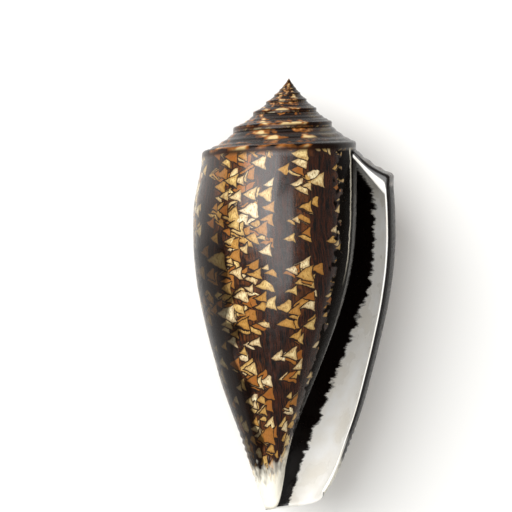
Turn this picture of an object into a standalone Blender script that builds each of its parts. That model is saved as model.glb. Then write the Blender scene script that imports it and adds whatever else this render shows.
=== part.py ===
"""A dextral cone shell, lying on its side with the aperture turned up and to the right.

The shell is one closed solid: a helico-spiral of about seven whorls whose last one wraps the others
and stays open as a long slot.  Lengths are in metres, +Y runs to the apex, and Z = 0 is the surface
that the shell rests on.  The shape is worked out in coiling coordinates first: a turn number that is
0 at the outer lip and negative towards the apex, a radius from the coiling axis, and a depth below
the apex along that axis.
"""
import math

import bmesh
import bpy
import numpy as np
from mathutils import Matrix, Vector

# Whole shell
SHELL_LENGTH = 0.095          # apex to columella tip, along the coiling axis
SPIRE_TURNS = 6.5             # turns of the spiral strip that are modelled
WHORL_EXPANSION = 1.56        # growth of every radius in one turn
SHOULDER_RADIUS = 0.0241      # at the outer lip
# Spire outline: straight, drawn up to a sharp apex
SPIRE_SLOPE = 0.82            # depth of the shoulder for each unit of its radius
APEX_RISE = 0.0014
APEX_RISE_WIDTH = 0.0018
SHOULDER_CLIFF = 0.115        # drop from shoulder to suture, as a part of the shoulder radius
RAMP_SAG = 0.065              # hollow of the ramp, as a part of its length
# Side of a whorl, as a part of its radius just under the shoulder, from there (0) to the base (1)
SIDE_OUTLINE = ((0.0, 1.0), (0.1, 1.023), (0.2, 1.026), (0.33, 0.988), (0.45, 0.921), (0.56, 0.845),
                (0.69, 0.742), (0.79, 0.637), (0.87, 0.545), (0.94, 0.43), (1.0, 0.31))
SWELLING = 0.055              # extra width of the last whorl half a turn behind the lip
SWELLING_ENDS = (0.0, 0.14, 0.62, 0.84)     # parts of the side where it starts, is full, and ends
FRONT_TURN = 0.06             # how far behind the lip the drawing-in of older whorls starts
DRAW_IN_START = 0.25          # part of the side that stays full
DRAW_IN_SPAN = 0.60
COLUMELLA_RADIUS = 0.0011
# Base: a rim that climbs to the lip, and a columella tip cut off slantwise
TIP_TURN = -0.575             # where the columella tip ends, on the left of the aperture
RIM_RISE = 0.0044
RIM_RISE_TURNS = 0.14
TIP_SLANT = 0.0090
TIP_STEP = 0.0015             # how far the columella's inner edge stops short of its outer edge
# Hollow of the last whorl
HOLLOW_TURNS = 0.775
LIP_THICKNESS = 0.0011
WALL_THICKNESS = 0.0018
WALL_THICKENING_TURNS = 0.12
BASE_THINNING = 0.45          # part of the wall's thickness that is lost at the base
# Resting place
LIP_AZIMUTH = math.radians(25.2)    # of the lip, from +X towards the upper side
PITCH = math.radians(2.21)         # the widest whorl lifts the apex end off the surface
# Facets
COLUMNS_PER_TURN = 40
RAMP_ROWS = (0.0, 0.2, 0.5, 0.8, 0.93, 1.0)
SIDE_ROWS = (0.0, 0.02, 0.06, 0.12, 0.30, 0.38, 0.46, 0.54, 0.62, 0.70, 0.77, 0.84, 0.90, 0.95, 1.0)


def smooth_curve(points, at):
    """Value of a smooth curve through (place, value) points."""
    place, value = np.array(points).T
    slope = np.gradient(value, place)
    i = np.clip(np.searchsorted(place, at, side="right") - 1, 0, len(place) - 2)
    step = place[i + 1] - place[i]
    t = (at - place[i]) / step
    return (value[i] * (2 * t**3 - 3 * t**2 + 1) + slope[i] * step * (t**3 - 2 * t**2 + t)
            + value[i + 1] * (3 * t**2 - 2 * t**3) + slope[i + 1] * step * (t**3 - t**2))


def smooth_step(low, high, at):
    t = np.clip((at - low) / (high - low), 0.0, 1.0)
    return t * t * (3 - 2 * t)


def shoulder(turn):
    """Radius and depth of the shoulder, the widest edge of the ramp."""
    radius = SHOULDER_RADIUS * WHORL_EXPANSION**turn
    depth = SPIRE_SLOPE * radius + APEX_RISE * (1 - math.exp(-radius / APEX_RISE_WIDTH))
    return radius, depth


def attachment(turn):
    """Point under the shoulder where the next whorl is stuck on, which is the suture."""
    radius, depth = shoulder(turn)
    return radius, depth + SHOULDER_CLIFF * radius


def ramp_point(turn, row):
    """Point between the suture above (row 0) and the attachment below the shoulder (row 1)."""
    r0, d0 = attachment(turn - 1)
    r1, d1 = shoulder(turn)
    r2, d2 = attachment(turn)
    corner = 0.86
    if row >= corner:
        t = (row - corner) / (1 - corner)
        return r1 + (r2 - r1) * t, d1 + (d2 - d1) * t
    t = row / corner
    sag = RAMP_SAG * math.hypot(r1 - r0, d1 - d0) * math.sin(math.pi * t)
    return r0 + (r1 - r0) * t, d0 + (d1 - d0) * t + sag


def side_radius(turn, part):
    """Radius of the side at a part of the way from the attachment to the base."""
    radius = attachment(turn)[0] * smooth_curve(SIDE_OUTLINE, part)
    age = max(0.0, -turn - FRONT_TURN)
    drawn = (max(0.0, part - DRAW_IN_START) / DRAW_IN_SPAN) ** 2 * age**1.5
    low, full, fading, gone = SWELLING_ENDS
    swelling = smooth_step(low, full, part) * (1 - smooth_step(fading, gone, part))
    radius *= max(0.0, 1 - drawn) * (1 + SWELLING * swelling * math.sin(math.pi * min(age, 1.0)) ** 2)
    return math.hypot(radius, COLUMELLA_RADIUS * smooth_step(0.3, 0.8, part))


def end_depth(turn):
    """Depth at which the side of this turn stops: the base rim, the tip, or the hollow's floor."""
    if turn >= TIP_TURN:
        return SHELL_LENGTH - RIM_RISE * math.exp(turn / RIM_RISE_TURNS)
    if turn >= TIP_TURN - 1.001:
        slant = TIP_SLANT * math.sin(math.pi * (turn - TIP_TURN)) ** 4
        return SHELL_LENGTH - slant - TIP_STEP * (TIP_TURN - turn)
    outer = turn + 1
    part = DRAW_IN_START + (1 - DRAW_IN_START) * (TIP_TURN + FRONT_TURN) / (outer + FRONT_TURN)
    top = attachment(outer)[1]
    return top + part * (SHELL_LENGTH - top)


def side_point(turn, row):
    top = attachment(turn)[1]
    depth = top + row * (end_depth(turn) - top)
    return side_radius(turn, (depth - top) / (SHELL_LENGTH - top)), depth


def outer_profile(turn):
    """Points (radius, depth) of the outer skin at one turn, from the suture down to its end."""
    return [ramp_point(turn, row) for row in RAMP_ROWS] + [side_point(turn, row) for row in SIDE_ROWS[1:]]


def inner_profile(turn):
    """Points of the wall's inner skin: the outer one moved in, under a plain conical ceiling."""
    outer = np.array(outer_profile(turn))
    along = np.gradient(outer, axis=0)
    inward = np.stack([-along[:, 1], along[:, 0]], axis=1)
    inward /= np.linalg.norm(inward, axis=1)[:, None]
    wall = WALL_THICKNESS + (LIP_THICKNESS - WALL_THICKNESS) * math.exp(turn / WALL_THICKENING_TURNS)
    rows = np.array((0.0,) * (len(RAMP_ROWS) - 1) + SIDE_ROWS)
    wall = wall * (1 - BASE_THINNING * rows**2)
    inner = outer + inward * wall[:, None]
    corner = len(RAMP_ROWS) - 1
    start = np.array(side_point(turn - 1, SIDE_ROWS[1]))
    across = np.array(RAMP_ROWS)[:, None]
    inner[:corner + 1] = start + (inner[corner] - start) * across
    return inner


def to_space(turn, point):
    """Coiling coordinates to metres, with the apex at the origin and the axis along -Y."""
    azimuth = LIP_AZIMUTH + 2 * math.pi * turn
    radius, depth = point
    return Vector((radius * math.cos(azimuth), -depth, radius * math.sin(azimuth)))


class ShellMesh:
    """Builds the closed skin column by column; every column is one small step of the spiral."""

    def __init__(self):
        self.bm = bmesh.new()
        self.first = -round(SPIRE_TURNS * COLUMNS_PER_TURN)
        self.hollow = -round(HOLLOW_TURNS * COLUMNS_PER_TURN)
        self.tip = round(TIP_TURN * COLUMNS_PER_TURN)

    def vert(self, column, point):
        return self.bm.verts.new(to_space(column / COLUMNS_PER_TURN, point))

    def face(self, *verts):
        ring = [v for i, v in enumerate(verts) if v is not verts[i - 1]]
        if len(ring) > 2:
            self.bm.faces.new(ring)

    def strip(self, one, two):
        for a, b, c, d in zip(one, one[1:], two[1:], two):
            self.face(a, b, c, d)

    def spire(self):
        """The ramps: each column hangs between the seam of the whorl before and its own seam."""
        turn = COLUMNS_PER_TURN
        self.seam = {c: self.vert(c, attachment(c / turn)) for c in range(self.first, 1)}
        ramps = {}
        for c in range(self.first + turn, 1):
            middle = [self.vert(c, ramp_point(c / turn, row)) for row in RAMP_ROWS[1:-1]]
            ramps[c] = [self.seam[c - turn]] + middle + [self.seam[c]]
        for c in range(self.first + turn, 0):
            self.strip(ramps[c], ramps[c + 1])
        apex = self.bm.verts.new((0.0, 0.0, 0.0))
        start = self.first + turn
        for c in range(self.first, start - 1):
            self.face(apex, self.seam[c], self.seam[c + 1])
        for a, b in zip([apex] + ramps[start], ramps[start]):
            self.face(self.seam[start - 1], a, b)
        return ramps

    def sides(self):
        """The outer skin below the seams, out to the lip, and back inside the hollow."""
        turn = COLUMNS_PER_TURN
        sides = {}
        for c in range(self.hollow - turn, 1):
            rows = [self.vert(c, side_point(c / turn, row)) for row in SIDE_ROWS[1:]]
            sides[c] = [self.seam[c]] + rows
        for c in range(self.hollow - turn, 0):
            hidden = 1 if c < -turn else 0
            self.strip(sides[c][hidden:], sides[c + 1][hidden:])
        return sides

    def hollow_skin(self, sides):
        """The inner skin, which shares its top with the whorl before and its end with the columella."""
        turn = COLUMNS_PER_TURN
        inner = {}
        for c in range(self.hollow, 1):
            points = inner_profile(c / turn)
            column = [sides[c - turn][1]] + [self.vert(c, p) for p in points[1:-1]]
            last = sides[c - turn][-1] if c <= self.tip else self.vert(c, points[-1])
            inner[c] = column + [last]
        for c in range(self.hollow, 0):
            self.strip(inner[c + 1], inner[c])
        return inner

    def close(self, ramps, sides, inner):
        """The lip, the base rim, the columella tip and the blind end of the hollow."""
        turn = COLUMNS_PER_TURN
        self.strip(ramps[0] + sides[0][1:], inner[0])
        for c in range(self.tip, 0):
            self.face(sides[c][-1], sides[c + 1][-1], inner[c + 1][-1], inner[c][-1])
        loop = [sides[c][-1] for c in range(self.tip - turn, self.tip + 1)]
        top = turn // 2
        self.strip(loop[:top + 1], loop[top:][::-1])
        blind = inner[self.hollow]
        wall = sides[self.hollow - turn][1:]
        ceiling = len(RAMP_ROWS)
        self.face(*blind[:ceiling + 1])
        self.strip(blind[ceiling:], wall)

    def build(self):
        ramps = self.spire()
        sides = self.sides()
        self.close(ramps, sides, self.hollow_skin(sides))
        bmesh.ops.triangulate(self.bm, faces=self.bm.faces[:])
        bmesh.ops.recalc_face_normals(self.bm, faces=self.bm.faces[:])
        mesh = bpy.data.meshes.new("cone_shell")
        self.bm.to_mesh(mesh)
        self.bm.free()
        return mesh


def lay_down(mesh):
    """Tip the shell to its resting place, with its box standing on the origin."""
    mesh.transform(Matrix.Rotation(PITCH, 4, "X"))
    corners = np.array([v.co for v in mesh.vertices])
    low, high = corners.min(axis=0), corners.max(axis=0)
    mesh.transform(Matrix.Translation((-(low[0] + high[0]) / 2, -(low[1] + high[1]) / 2, -low[2])))


def shell_material():
    material = bpy.data.materials.new("glossy_shell")
    material.use_nodes = True
    shader = material.node_tree.nodes["Principled BSDF"]
    shader.inputs["Base Color"].default_value = (0.50, 0.30, 0.10, 1.0)
    shader.inputs["Roughness"].default_value = 0.28
    shader.inputs["Metallic"].default_value = 0.0
    return material


for leftover in list(bpy.data.objects):
    bpy.data.objects.remove(leftover)

shell_mesh = ShellMesh().build()
lay_down(shell_mesh)
shell_mesh.shade_smooth()
shell_mesh.set_sharp_from_angle(angle=math.radians(40))
shell_mesh.materials.append(shell_material())
cone_shell = bpy.data.objects.new("cone_shell", shell_mesh)
bpy.context.scene.collection.objects.link(cone_shell)
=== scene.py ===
"""A dextral cone shell lying on its side, aperture up: gold, tent-marked glaze outside, white inside."""
import math

import bpy
from mathutils import Matrix, Vector


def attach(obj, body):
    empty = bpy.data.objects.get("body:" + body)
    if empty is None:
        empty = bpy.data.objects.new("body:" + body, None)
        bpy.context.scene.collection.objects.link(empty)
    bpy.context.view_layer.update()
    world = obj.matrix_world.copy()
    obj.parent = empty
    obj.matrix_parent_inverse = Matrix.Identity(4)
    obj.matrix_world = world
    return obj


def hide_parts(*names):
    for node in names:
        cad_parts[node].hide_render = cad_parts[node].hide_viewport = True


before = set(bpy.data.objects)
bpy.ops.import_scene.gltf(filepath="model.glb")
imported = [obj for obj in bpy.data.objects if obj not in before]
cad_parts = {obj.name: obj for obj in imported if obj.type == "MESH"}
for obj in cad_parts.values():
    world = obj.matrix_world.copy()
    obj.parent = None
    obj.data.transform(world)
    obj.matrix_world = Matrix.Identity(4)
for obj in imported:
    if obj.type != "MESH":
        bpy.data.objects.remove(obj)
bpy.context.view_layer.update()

# --- The shell wall: form -------------------------------------------------------------------------
# One wall of aragonite, laid down by the animal at the outer lip, turn after turn, every whorl a
# larger copy of the one before and stuck on just under its shoulder.  Each patch below is a grid
# laid out by turn (0 at the lip, negative towards the apex) and by its place along the outline.

SHELL_LENGTH = 0.095           # along the coiling axis
LIP_RADIUS = 0.0241            # shoulder radius at the lip
WHORL_EXPANSION = 1.56         # growth of every radius in one turn
WALL_THICKNESS = 0.0018
LIP_THICKNESS = 0.0011
SPIRE_TURNS = 8
HOLLOW_TURNS = 0.80            # how far the open part of the last whorl is followed inwards
TIP_TURN = -0.575              # where the columella ends, on the left of the aperture
TIP_BLEND = 0.06               # turns over which the inner skin closes on the columella before the tip
FRONT_TURN = 0.06              # whorls older than this behind the lip are drawn in
FULL_PART = 0.25               # the sides of older turns are drawn in below this part of their length
CEILING_ROW = 0.02             # where the hollow's ceiling meets the side, as a share of its length
LIP_THINNING_TURNS = 0.12      # how fast the wall thins towards the lip
BASE_WALL_SHARE = 0.55         # wall thickness at the base rim, next to that at the shoulder
LIP_AZIMUTH = math.radians(25.2)     # the lip's place round the axis, up from the shell's right
PITCH = math.radians(2.21)           # tips the axis until the shell lies level on its belly
SIDE_OUTLINE = ((0.0, 1.0), (0.1, 1.023), (0.2, 1.026), (0.33, 0.988), (0.45, 0.921), (0.56, 0.845),
                (0.69, 0.742), (0.79, 0.637), (0.87, 0.545), (0.94, 0.43), (1.0, 0.31))
SWELLING_STARTS = (0.0, 0.14)  # shares of the side over which the belly swells out and goes back in
SWELLING_STOPS = (0.62, 0.84)
RAMP_CORNER = 0.86             # share of a ramp's rows before it drops over the shoulder
RAMP_THREADS = 4               # raised spiral threads on each ramp
THREAD_BEADS = 40.0            # uneven places along a thread in one turn
GROWTH_LINES = 55.0            # growth lines on the flank in one turn
BASE_CORDS = 46                # spiral cords down the whole side, which show only near the base
RELIEF_FADE = 24.0             # relief dies out over a 24th of a turn before the lip and the seam
TURN_COLUMNS = 200
RAMP_ROWS = 16
SIDE_ROWS = 100
EDGE_ROWS = 6
WELD_DISTANCE = 0.0000002
SHELL_SIZES = {
    "Length": SHELL_LENGTH, "Lip Radius": LIP_RADIUS, "Expansion": WHORL_EXPANSION,
    "Wall": WALL_THICKNESS, "Lip Thickness": LIP_THICKNESS, "Thread Height": 0.00016,
    "Growth Line Height": 0.00008, "Cord Height": 0.00016, "Seed": 3.0,
}
# a face's coil place is its turn (or its share across the lip), its row and its layer; rows run from
# 0 to 1 down a ramp, from 1 to 2 down a side, and on from 2 across the base rim
ON_RAMP, ON_SIDE, ON_RIM = 0.0, 1.0, 2.0
GLAZE_LAYER, OLDER_LAYER, INNER_LAYER, LIP_LAYER, TIP_LAYER, RIM_LAYER = 0.0, 1.0, 2.0, 3.0, 4.0, 5.0
# left, low, right and high edge of each patch in the atlas; the ramps crowd their early turns
ATLAS = {
    "ramps": (0.01, 0.17, 0.99, 0.29), "flank": (0.01, 0.31, 0.99, 0.99),
    "older side": (0.01, 0.01, 0.30, 0.155), "inner skin": (0.32, 0.01, 0.62, 0.155),
    "ceiling": (0.64, 0.11, 0.94, 0.155), "lip ramp": (0.64, 0.06, 0.70, 0.10),
    "lip side": (0.72, 0.01, 0.78, 0.10), "base rim": (0.80, 0.06, 0.99, 0.10),
    "tip": (0.80, 0.01, 0.99, 0.05), "blind end": (0.95, 0.11, 0.99, 0.155),
}
EARLY_TURNS_SHRINK = 0.88


def add(tree, kind, *inputs, **settings):
    """Adds a node with its settings, and links or sets its inputs in order; None leaves one alone."""
    node = tree.nodes.new(kind)
    for name, value in settings.items():
        setattr(node, name, value)
    for socket, value in zip([s for s in node.inputs if s.enabled], inputs):
        if isinstance(value, bpy.types.Node):
            value = next(s for s in value.outputs if s.enabled)
        if isinstance(value, bpy.types.NodeSocket):
            tree.links.new(value, socket)
        elif value is not None:
            socket.default_value = value
    return node


def new_group(kind, name, inputs, outputs):
    """A node group whose inputs are given as name: default, and outputs as name: socket type."""
    tree = bpy.data.node_groups.new(name, kind)
    for label, default in inputs.items():
        socket_type = "NodeSocketFloat" if isinstance(default, float) else "NodeSocketVector"
        socket = tree.interface.new_socket(label, in_out="INPUT", socket_type=socket_type)
        socket.default_value = default
    for label, socket_type in outputs.items():
        tree.interface.new_socket(label, in_out="OUTPUT", socket_type=socket_type)
    return tree, add(tree, "NodeGroupInput").outputs


def whorl_group():
    """Turn to shoulder radius, shoulder depth and seam depth: the outline of the spire."""
    tree, given = new_group("GeometryNodeTree", "Whorl", {
        "Turn": 0.0, "Lip Radius": LIP_RADIUS, "Expansion": WHORL_EXPANSION, "Spire Slope": 0.82,
        "Apex Rise": 0.0014, "Apex Width": 0.0018, "Shoulder Cliff": 0.115,
    }, {"Radius": "NodeSocketFloat", "Shoulder Depth": "NodeSocketFloat", "Seam Depth": "NodeSocketFloat"})
    turn, lip_radius, expansion, slope, rise, width, cliff = given[:7]
    growth = add(tree, "ShaderNodeMath", expansion, turn, operation="POWER")
    full = add(tree, "ShaderNodeMath", lip_radius, growth, operation="MULTIPLY")
    start = add(tree, "ShaderNodeMath", turn, float(SPIRE_TURNS), operation="ADD", use_clamp=True)
    radius = add(tree, "ShaderNodeMath", full, start, operation="MULTIPLY")
    ratio = add(tree, "ShaderNodeMath", radius, width, operation="DIVIDE")
    fall = add(tree, "ShaderNodeMath", ratio, -1.0, operation="MULTIPLY")
    fade = add(tree, "ShaderNodeMath", fall, operation="EXPONENT")
    left = add(tree, "ShaderNodeMath", 1.0, fade, operation="SUBTRACT")
    drawn_up = add(tree, "ShaderNodeMath", rise, left, operation="MULTIPLY")
    depth = add(tree, "ShaderNodeMath", slope, radius, drawn_up, operation="MULTIPLY_ADD")
    seam = add(tree, "ShaderNodeMath", cliff, radius, depth, operation="MULTIPLY_ADD")
    add(tree, "NodeGroupOutput", radius, depth, seam)
    return tree


def end_group(whorl):
    """Turn to the depth where a side stops: the base rim, the columella tip or the hollow's floor."""
    tree, given = new_group("GeometryNodeTree", "Side End", {
        "Turn": 0.0, "Length": SHELL_LENGTH, "Lip Radius": LIP_RADIUS, "Expansion": WHORL_EXPANSION,
        "Rim Rise": 0.0044, "Rim Turns": 0.14, "Tip Slant": 0.0090, "Tip Step": 0.0015,
    }, {"Depth": "NodeSocketFloat"})
    turn, length, lip_radius, expansion, rim_rise, rim_turns, slant, step = given[:8]
    ratio = add(tree, "ShaderNodeMath", turn, rim_turns, operation="DIVIDE")
    lift = add(tree, "ShaderNodeMath", ratio, operation="EXPONENT")
    lifted = add(tree, "ShaderNodeMath", rim_rise, lift, operation="MULTIPLY")
    rim = add(tree, "ShaderNodeMath", length, lifted, operation="SUBTRACT")
    past_tip = add(tree, "ShaderNodeMath", TIP_TURN, turn, operation="SUBTRACT")
    angle = add(tree, "ShaderNodeMath", past_tip, math.pi, operation="MULTIPLY")
    wave = add(tree, "ShaderNodeMath", angle, operation="SINE")
    square = add(tree, "ShaderNodeMath", wave, wave, operation="MULTIPLY")
    fourth = add(tree, "ShaderNodeMath", square, square, operation="MULTIPLY")
    slanted = add(tree, "ShaderNodeMath", slant, fourth, operation="MULTIPLY")
    cut = add(tree, "ShaderNodeMath", step, past_tip, slanted, operation="MULTIPLY_ADD")
    tip = add(tree, "ShaderNodeMath", length, cut, operation="SUBTRACT")
    outer = add(tree, "ShaderNodeMath", turn, 1.0, operation="ADD")
    age = add(tree, "ShaderNodeMath", outer, FRONT_TURN, operation="ADD")
    share = add(tree, "ShaderNodeMath", TIP_TURN + FRONT_TURN, age, operation="DIVIDE")
    part = add(tree, "ShaderNodeMath", share, 1 - FULL_PART, FULL_PART, operation="MULTIPLY_ADD")
    seam = add(tree, "GeometryNodeGroup", outer, lip_radius, expansion, node_tree=whorl)
    floor = add(tree, "ShaderNodeMix", part, seam.outputs["Seam Depth"], length, clamp_factor=False)
    before_tip = add(tree, "ShaderNodeMath", turn, TIP_TURN - 0.001, operation="LESS_THAN")
    inside = add(tree, "ShaderNodeMath", turn, TIP_TURN - 1.001, operation="LESS_THAN")
    outer_end = add(tree, "ShaderNodeMix", before_tip, rim, tip)
    depth = add(tree, "ShaderNodeMix", inside, outer_end, floor)
    add(tree, "NodeGroupOutput", depth)
    return tree


def side_group(whorl):
    """Turn and depth to the radius of a whorl's tapering side."""
    tree, given = new_group("GeometryNodeTree", "Side", {
        "Turn": 0.0, "Depth": 0.0, "Length": SHELL_LENGTH, "Lip Radius": LIP_RADIUS,
        "Expansion": WHORL_EXPANSION, "Draw-in Span": 0.60, "Columella Radius": 0.0011, "Swelling": 0.055,
    }, {"Radius": "NodeSocketFloat"})
    turn, depth, length, lip_radius, expansion, span, columella, swelling = given[:8]
    here = add(tree, "GeometryNodeGroup", turn, lip_radius, expansion, node_tree=whorl)
    below = add(tree, "ShaderNodeMath", depth, here.outputs["Seam Depth"], operation="SUBTRACT")
    reach = add(tree, "ShaderNodeMath", length, here.outputs["Seam Depth"], operation="SUBTRACT")
    part = add(tree, "ShaderNodeMath", below, reach, operation="DIVIDE")
    outline = add(tree, "ShaderNodeFloatCurve", 1.0, part)
    outline.mapping.use_clip = False
    curve = outline.mapping.curves[0]
    curve.points[0].location = SIDE_OUTLINE[0]
    curve.points[1].location = SIDE_OUTLINE[-1]
    for place, value in SIDE_OUTLINE[1:-1]:
        curve.points.new(place, value)
    outline.mapping.update()
    past = add(tree, "ShaderNodeMath", part, FULL_PART, operation="SUBTRACT")
    lower = add(tree, "ShaderNodeMath", past, 0.0, operation="MAXIMUM")
    share = add(tree, "ShaderNodeMath", lower, span, operation="DIVIDE")
    square = add(tree, "ShaderNodeMath", share, share, operation="MULTIPLY")
    behind = add(tree, "ShaderNodeMath", -FRONT_TURN, turn, operation="SUBTRACT")
    age = add(tree, "ShaderNodeMath", behind, 0.0, operation="MAXIMUM")
    aged = add(tree, "ShaderNodeMath", age, 1.5, operation="POWER")
    drawn = add(tree, "ShaderNodeMath", square, aged, operation="MULTIPLY")
    kept = add(tree, "ShaderNodeMath", 1.0, drawn, operation="SUBTRACT")
    fullness = add(tree, "ShaderNodeMath", kept, 0.0, operation="MAXIMUM")
    free = add(tree, "ShaderNodeMath", here.outputs["Radius"], outline, operation="MULTIPLY")
    narrow = add(tree, "ShaderNodeMath", free, fullness, operation="MULTIPLY")
    whole_age = add(tree, "ShaderNodeMath", age, 1.0, operation="MINIMUM")
    half_turn = add(tree, "ShaderNodeMath", whole_age, math.pi, operation="MULTIPLY")
    bell = add(tree, "ShaderNodeMath", half_turn, operation="SINE")
    bell_square = add(tree, "ShaderNodeMath", bell, bell, operation="MULTIPLY")
    starts = add(tree, "ShaderNodeMapRange", part, *SWELLING_STARTS, 0.0, 1.0,
                 interpolation_type="SMOOTHSTEP")
    stops = add(tree, "ShaderNodeMapRange", part, *SWELLING_STOPS, 1.0, 0.0,
                interpolation_type="SMOOTHSTEP")
    belly = add(tree, "ShaderNodeMath", starts, stops, operation="MULTIPLY")
    bulged = add(tree, "ShaderNodeMath", belly, bell_square, operation="MULTIPLY")
    extra = add(tree, "ShaderNodeMath", bulged, swelling, operation="MULTIPLY")
    swollen = add(tree, "ShaderNodeMath", narrow, extra, narrow, operation="MULTIPLY_ADD")
    core = add(tree, "ShaderNodeMapRange", part, 0.3, 0.8, 0.0, columella, interpolation_type="SMOOTHSTEP")
    narrow_square = add(tree, "ShaderNodeMath", swollen, swollen, operation="MULTIPLY")
    squares = add(tree, "ShaderNodeMath", core, core, narrow_square, operation="MULTIPLY_ADD")
    add(tree, "NodeGroupOutput", add(tree, "ShaderNodeMath", squares, operation="SQRT"))
    return tree


def space_group():
    """Turn, radius and depth to a point, with the apex at the origin and the axis along -Y."""
    tree, given = new_group("GeometryNodeTree", "Coil to Space", {
        "Turn": 0.0, "Radius": 0.0, "Depth": 0.0,
    }, {"Position": "NodeSocketVector"})
    turn, radius, depth = given[:3]
    azimuth = add(tree, "ShaderNodeMath", turn, math.tau, LIP_AZIMUTH, operation="MULTIPLY_ADD")
    east = add(tree, "ShaderNodeMath", azimuth, operation="COSINE")
    up = add(tree, "ShaderNodeMath", azimuth, operation="SINE")
    x = add(tree, "ShaderNodeMath", radius, east, operation="MULTIPLY")
    y = add(tree, "ShaderNodeMath", depth, -1.0, operation="MULTIPLY")
    z = add(tree, "ShaderNodeMath", radius, up, operation="MULTIPLY")
    add(tree, "NodeGroupOutput", add(tree, "ShaderNodeCombineXYZ", x, y, z))
    return tree


def ramp_group(whorl):
    """Turn and row to radius and depth on the ramp, from the seam above to the whorl's own seam."""
    tree, given = new_group("GeometryNodeTree", "Ramp", {
        "Turn": 0.0, "Row": 0.0, "Lip Radius": LIP_RADIUS, "Expansion": WHORL_EXPANSION,
        "Sag": 0.065, "Corner": RAMP_CORNER,
    }, {"Radius": "NodeSocketFloat", "Depth": "NodeSocketFloat"})
    turn, row, lip_radius, expansion, sag, corner = given[:6]
    before = add(tree, "ShaderNodeMath", turn, 1.0, operation="SUBTRACT")
    above = add(tree, "GeometryNodeGroup", before, lip_radius, expansion, node_tree=whorl)
    here = add(tree, "GeometryNodeGroup", turn, lip_radius, expansion, node_tree=whorl)
    upper = add(tree, "ShaderNodeMath", row, corner, operation="DIVIDE", use_clamp=True)
    past = add(tree, "ShaderNodeMath", row, corner, operation="SUBTRACT")
    cliff = add(tree, "ShaderNodeMath", 1.0, corner, operation="SUBTRACT")
    lower = add(tree, "ShaderNodeMath", past, cliff, operation="DIVIDE", use_clamp=True)
    radius = add(tree, "ShaderNodeMix", upper, above.outputs["Radius"], here.outputs["Radius"])
    slope = add(tree, "ShaderNodeMix", upper, above.outputs["Seam Depth"], here.outputs["Shoulder Depth"])
    drop = add(tree, "ShaderNodeMath", here.outputs["Seam Depth"], here.outputs["Shoulder Depth"],
               operation="SUBTRACT")
    cliffed = add(tree, "ShaderNodeMath", lower, drop, slope, operation="MULTIPLY_ADD")
    width = add(tree, "ShaderNodeMath", here.outputs["Radius"], above.outputs["Radius"],
                operation="SUBTRACT")
    fall = add(tree, "ShaderNodeMath", here.outputs["Shoulder Depth"], above.outputs["Seam Depth"],
               operation="SUBTRACT")
    across = add(tree, "ShaderNodeCombineXYZ", width, fall, 0.0)
    span = add(tree, "ShaderNodeVectorMath", across, operation="LENGTH")
    angle = add(tree, "ShaderNodeMath", upper, math.pi, operation="MULTIPLY")
    wave = add(tree, "ShaderNodeMath", angle, operation="SINE")
    deep = add(tree, "ShaderNodeMath", sag, span.outputs["Value"], operation="MULTIPLY")
    depth = add(tree, "ShaderNodeMath", wave, deep, cliffed, operation="MULTIPLY_ADD")
    add(tree, "NodeGroupOutput", radius, depth)
    return tree


def grid_patch(tree, columns, rows, turns, part, crowded=False):
    """A grid with its turn field, its row field (0 to 1), and its place in the atlas."""
    grid = add(tree, "GeometryNodeMeshGrid", 1.0, 1.0, columns + 1, rows + 1)
    place = add(tree, "ShaderNodeSeparateXYZ", grid.outputs["UV Map"])
    across, down = place.outputs["X"], place.outputs["Y"]
    turn = add(tree, "ShaderNodeMapRange", across, 0.0, 1.0, *turns, clamp=False).outputs[0]
    spread = across
    if crowded:
        squared = add(tree, "ShaderNodeMath", across, across, operation="MULTIPLY")
        cubed = add(tree, "ShaderNodeMath", squared, across, operation="MULTIPLY")
        spread = add(tree, "ShaderNodeMix", EARLY_TURNS_SHRINK, across, cubed).outputs[0]
    left, low, right, high = ATLAS[part]
    east = add(tree, "ShaderNodeMapRange", spread, 0.0, 1.0, left, right)
    north = add(tree, "ShaderNodeMapRange", down, 0.0, 1.0, low, high)
    unwrapped = add(tree, "ShaderNodeCombineXYZ", east, north, 0.0)
    return grid.outputs["Mesh"], turn, across, down, unwrapped


def finish_patch(tree, mesh, position, coil, unwrapped, flip=False):
    """Bends a grid into place and stores its coil place and its atlas place."""
    first, row, row_start, layer = coil
    along = add(tree, "ShaderNodeMath", row, row_start, operation="ADD")
    coil_place = add(tree, "ShaderNodeCombineXYZ", first, along, layer)
    stored = add(tree, "GeometryNodeStoreNamedAttribute", mesh, None, "coil", coil_place,
                 data_type="FLOAT_VECTOR", domain="CORNER")
    mapped = add(tree, "GeometryNodeStoreNamedAttribute", stored, None, "OFBake", unwrapped,
                 data_type="FLOAT2", domain="CORNER")
    bent = add(tree, "GeometryNodeSetPosition", mapped, None, position)
    if flip:
        bent = add(tree, "GeometryNodeFlipFaces", bent)
    return bent.outputs[0]


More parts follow.
